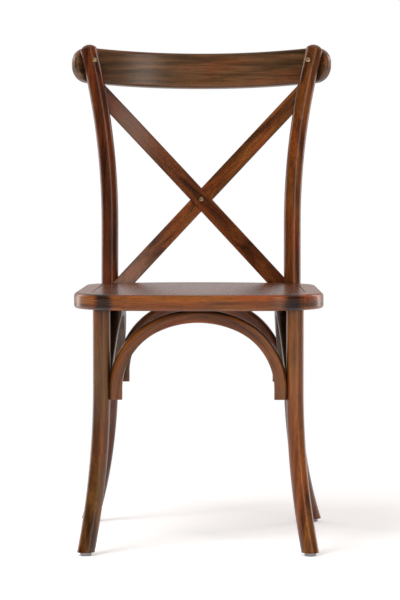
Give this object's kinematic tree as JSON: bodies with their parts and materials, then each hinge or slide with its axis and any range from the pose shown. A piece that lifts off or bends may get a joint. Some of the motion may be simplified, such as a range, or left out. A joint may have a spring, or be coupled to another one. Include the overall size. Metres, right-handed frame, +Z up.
{
  "type": "cross back chair",
  "caption": "Bentwood dining chair with a curved crest rail, a crossed strap back, a round-cornered seat let into a hoop, and bent arches between splayed legs.",
  "frame": {"origin": "on the floor, under the middle of the chair's box", "axes": "+Z up, +Y from the sitter's front towards the back rest, +X to the right seen from the front"},
  "size_m": [0.4804, 0.5706, 0.8865],
  "materials": {
    "bent_wood": "dark walnut stain, satin lacquer",
    "seat_wood": "dark walnut stain, satin lacquer",
    "antique_brass": "antique, dull",
    "plated_steel": "zinc plated",
    "blackened_steel": "blackened under the stain",
    "nylon_glide": "moulded nylon"
  },
  "bodies": {
    "root": {"seat_ring": "bent_wood", "seat_panel": "seat_wood", "crest_rail": "bent_wood", "front_cross_strap": "bent_wood", "back_cross_strap": "bent_wood", "left_back_post": "bent_wood", "right_back_post": "bent_wood", "left_front_leg": "bent_wood", "right_front_leg": "bent_wood", "left_side_arch": "bent_wood", "right_side_arch": "bent_wood", "front_arch": "bent_wood", "rear_arch": "bent_wood", "crest_bolts": "antique_brass", "crest_nuts": "antique_brass", "cross_rivet": "antique_brass", "cross_rivet_washer": "antique_brass", "post_bolts": "antique_brass", "post_bolt_nuts": "plated_steel", "front_arch_screws": "plated_steel", "rear_arch_screws": "plated_steel", "side_arch_screws": "plated_steel", "crown_screws": "plated_steel", "panel_screws": "plated_steel", "leg_screws": "plated_steel", "glide_nails": "plated_steel", "left_front_glide": "nylon_glide", "left_rear_glide": "nylon_glide", "right_front_glide": "nylon_glide", "right_rear_glide": "nylon_glide", "scarf_pins": "blackened_steel"}
  },
  "joints": []
}
